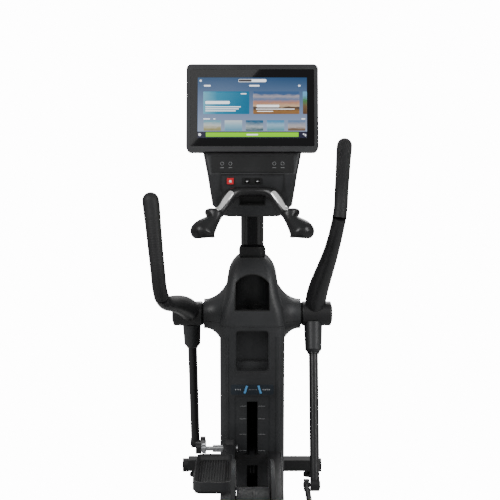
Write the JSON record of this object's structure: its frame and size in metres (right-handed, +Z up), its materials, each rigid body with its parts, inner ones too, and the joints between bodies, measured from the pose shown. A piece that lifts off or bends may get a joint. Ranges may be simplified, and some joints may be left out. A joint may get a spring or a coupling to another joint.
{
  "type": "elliptical trainer",
  "caption": "Rear-drive elliptical trainer with an inclining ramp, swinging handlebars linked to the foot arms, a tower with cup holder and tray, and a tilted touch screen console.",
  "frame": {"origin": "on the floor under the middle of the machine's bounding box", "axes": "+Z up, +Y from the rear drive towards the console tower, +X to the user's right"},
  "size_m": [0.8076, 2.03, 1.8013],
  "materials": {
    "casting": "black powder-coated casting",
    "contact": "brushed stainless",
    "frame_paint": "satin black powder coat",
    "glass": "black edged cover glass",
    "gloss": "semi gloss black",
    "inner_metal": "cast aluminium",
    "label": "dark satin label",
    "red": "red moulded key",
    "rubber": "soft black rubber",
    "screen": "display",
    "shell": "fine textured charcoal moulding",
    "steel": "machined steel"
  },
  "bodies": {
    "frame": {"base_frame": "frame_paint", "levelling_feet": "rubber", "ramp_pivot_cradle": "frame_paint", "tower_upper_cover": "shell", "tower_lower_cover": "shell", "tower_front_cover": "shell", "cup_holder_liner": "shell", "tray_liner": "shell", "level_label": "label", "tower_post": "frame_paint", "shoulder_shaft": "steel", "mast": "frame_paint", "lift_motor": "inner_metal", "drive_belts": "rubber", "drive_side_plates": "frame_paint", "rear_cover_right": "shell", "rear_cover_left": "shell", "console_bezel": "gloss", "screen_glass": "glass", "display_panel": "screen", "console_back_shell": "shell", "fascia_shell": "shell", "phone_tray": "shell", "fascia_panel": "shell", "toggle_block": "shell", "fixed_handle": "gloss", "contact_plates": "contact", "handle_ends": "gloss"},
    "transport_wheels": {"transport_wheels": "rubber"},
    "crank": {"crank_axle": "steel", "crank_discs": "inner_metal", "crank_pulley": "inner_metal"},
    "intermediate": {"intermediate_pulley": "inner_metal"},
    "flywheel": {"generator_flywheel": "steel"},
    "ramp": {"ramp_frame": "frame_paint"},
    "lift_screw": {"lift_screw": "steel"},
    "lift_nut": {"lift_nut": "inner_metal"},
    "stop_button": {"stop_button": "red"},
    "toggle_left": {"toggle_left": "shell"},
    "toggle_right": {"toggle_right": "shell"},
    "axle_right": {"roller_axle_right": "steel"},
    "roller_right": {"ramp_roller_right": "rubber"},
    "foot_arm_right": {"foot_arm_right": "frame_paint", "pedal_tray_right": "shell", "pedal_pad_right": "rubber"},
    "handle_right": {"handle_arm_right": "casting", "handle_grip_right": "rubber", "lever_socket_right": "shell", "lever_tube_right": "frame_paint"},
    "rod_right": {"link_rod_right": "frame_paint"},
    "axle_left": {"roller_axle_left": "steel"},
    "roller_left": {"ramp_roller_left": "rubber"},
    "foot_arm_left": {"foot_arm_left": "frame_paint", "pedal_tray_left": "shell", "pedal_pad_left": "rubber"},
    "handle_left": {"handle_arm_left": "casting", "handle_grip_left": "rubber", "lever_socket_left": "shell", "lever_tube_left": "frame_paint"},
    "rod_left": {"link_rod_left": "frame_paint"}
  },
  "joints": [
    {"name": "crank_spin", "type": "hinge", "parent": "frame", "child": "crank", "pos_m": [0, -0.64032, 0.33], "axis": [1, 0, 0], "continuous": true},
    {"name": "intermediate_spin", "type": "hinge", "parent": "frame", "child": "intermediate", "pos_m": [0, -0.35, 0.275], "axis": [1, 0, 0], "continuous": true},
    {"name": "flywheel_spin", "type": "hinge", "parent": "frame", "child": "flywheel", "pos_m": [0, -0.215, 0.215], "axis": [1, 0, 0], "continuous": true},
    {"name": "transport_wheel_spin", "type": "hinge", "parent": "frame", "child": "transport_wheels", "pos_m": [0, 0.985, 0.034], "axis": [1, 0, 0], "continuous": true},
    {"name": "ramp_incline", "type": "hinge", "parent": "frame", "child": "ramp", "pos_m": [0, -0.06, 0.11], "axis": [1, 0, 0], "range_deg": [0, 18]},
    {"name": "lift_screw_spin", "type": "hinge", "parent": "frame", "child": "lift_screw", "pos_m": [0, 0.665, 0.3], "axis": [0, 0, 1], "range_deg": [0, 9005]},
    {"name": "lift_nut_slide", "type": "slide", "parent": "frame", "child": "lift_nut", "axis": [0, 0, 1], "range_m": [0, 0.2005]},
    {"name": "stride_right", "type": "slide", "parent": "ramp", "child": "axle_right", "axis": [0, 0.9848, 0.1736], "range_m": [0, 0.525]},
    {"name": "stride_left", "type": "slide", "parent": "ramp", "child": "axle_left", "axis": [0, 0.9848, 0.1736], "range_m": [-0.525, 0]},
    {"name": "roller_spin_right", "type": "hinge", "parent": "axle_right", "child": "roller_right", "pos_m": [0.09, -0.03455, 0.19603], "axis": [1, 0, 0], "range_deg": [-860, 0]},
    {"name": "foot_arm_pitch_right", "type": "hinge", "parent": "axle_right", "child": "foot_arm_right", "pos_m": [0.09, -0.03455, 0.19603], "axis": [1, 0, 0], "range_deg": [-12.1, 0]},
    {"name": "handle_swing_right", "type": "hinge", "parent": "frame", "child": "handle_right", "pos_m": [0, 0.7, 0.79], "axis": [1, 0, 0], "range_deg": [0, 44.01]},
    {"name": "link_rod_pivot_right", "type": "hinge", "parent": "handle_right", "child": "rod_right", "pos_m": [0.216, 0.44152, 0.15024], "axis": [1, 0, 0], "range_deg": [-54.66, 0]},
    {"name": "roller_spin_left", "type": "hinge", "parent": "axle_left", "child": "roller_left", "pos_m": [-0.09, 0.48247, 0.28719], "axis": [1, 0, 0], "range_deg": [0, 860]},
    {"name": "foot_arm_pitch_left", "type": "hinge", "parent": "axle_left", "child": "foot_arm_left", "pos_m": [-0.09, 0.48247, 0.28719], "axis": [1, 0, 0], "range_deg": [-12.1, 0]},
    {"name": "handle_swing_left", "type": "hinge", "parent": "frame", "child": "handle_left", "pos_m": [0, 0.7, 0.79], "axis": [1, 0, 0], "range_deg": [-44.01, 0]},
    {"name": "link_rod_pivot_left", "type": "hinge", "parent": "handle_left", "child": "rod_left", "pos_m": [-0.216, 0.95848, 0.15024], "axis": [1, 0, 0], "range_deg": [0, 54.66]},
    {"name": "stop_button_press", "type": "slide", "parent": "frame", "child": "stop_button", "axis": [0, 1, 0], "range_m": [0, 0.004], "stiffness_N_per_m": 400},
    {"name": "toggle_tilt_left", "type": "hinge", "parent": "frame", "child": "toggle_left", "pos_m": [-0.02, 0.578, 1.35], "axis": [1, 0, 0], "range_deg": [-12, 12], "stiffness_Nm_per_rad": 0.05},
    {"name": "toggle_tilt_right", "type": "hinge", "parent": "frame", "child": "toggle_right", "pos_m": [0.02, 0.578, 1.35], "axis": [1, 0, 0], "range_deg": [-12, 12], "stiffness_Nm_per_rad": 0.05}
  ],
  "couplings": [
    {"joint": "roller_spin_right", "follows": "stride_right", "rad_per_m": -28.571},
    {"joint": "foot_arm_pitch_right", "follows": "ramp_incline", "ratio": -0.665},
    {"joint": "handle_swing_right", "follows": "stride_right", "rad_per_m": 1.4628},
    {"joint": "link_rod_pivot_right", "follows": "stride_right", "rad_per_m": -1.8137},
    {"joint": "roller_spin_left", "follows": "stride_right", "rad_per_m": 28.571},
    {"joint": "foot_arm_pitch_left", "follows": "ramp_incline", "ratio": -0.665},
    {"joint": "handle_swing_left", "follows": "stride_right", "rad_per_m": -1.4628},
    {"joint": "link_rod_pivot_left", "follows": "stride_right", "rad_per_m": 1.8137},
    {"joint": "stride_left", "follows": "stride_right", "ratio": -1},
    {"joint": "lift_nut_slide", "follows": "ramp_incline", "m_per_rad": 0.6366},
    {"joint": "lift_screw_spin", "follows": "ramp_incline", "ratio": 500},
    {"joint": "intermediate_spin", "follows": "crank_spin", "ratio": 5.9375},
    {"joint": "flywheel_spin", "follows": "crank_spin", "ratio": 18.025}
  ]
}
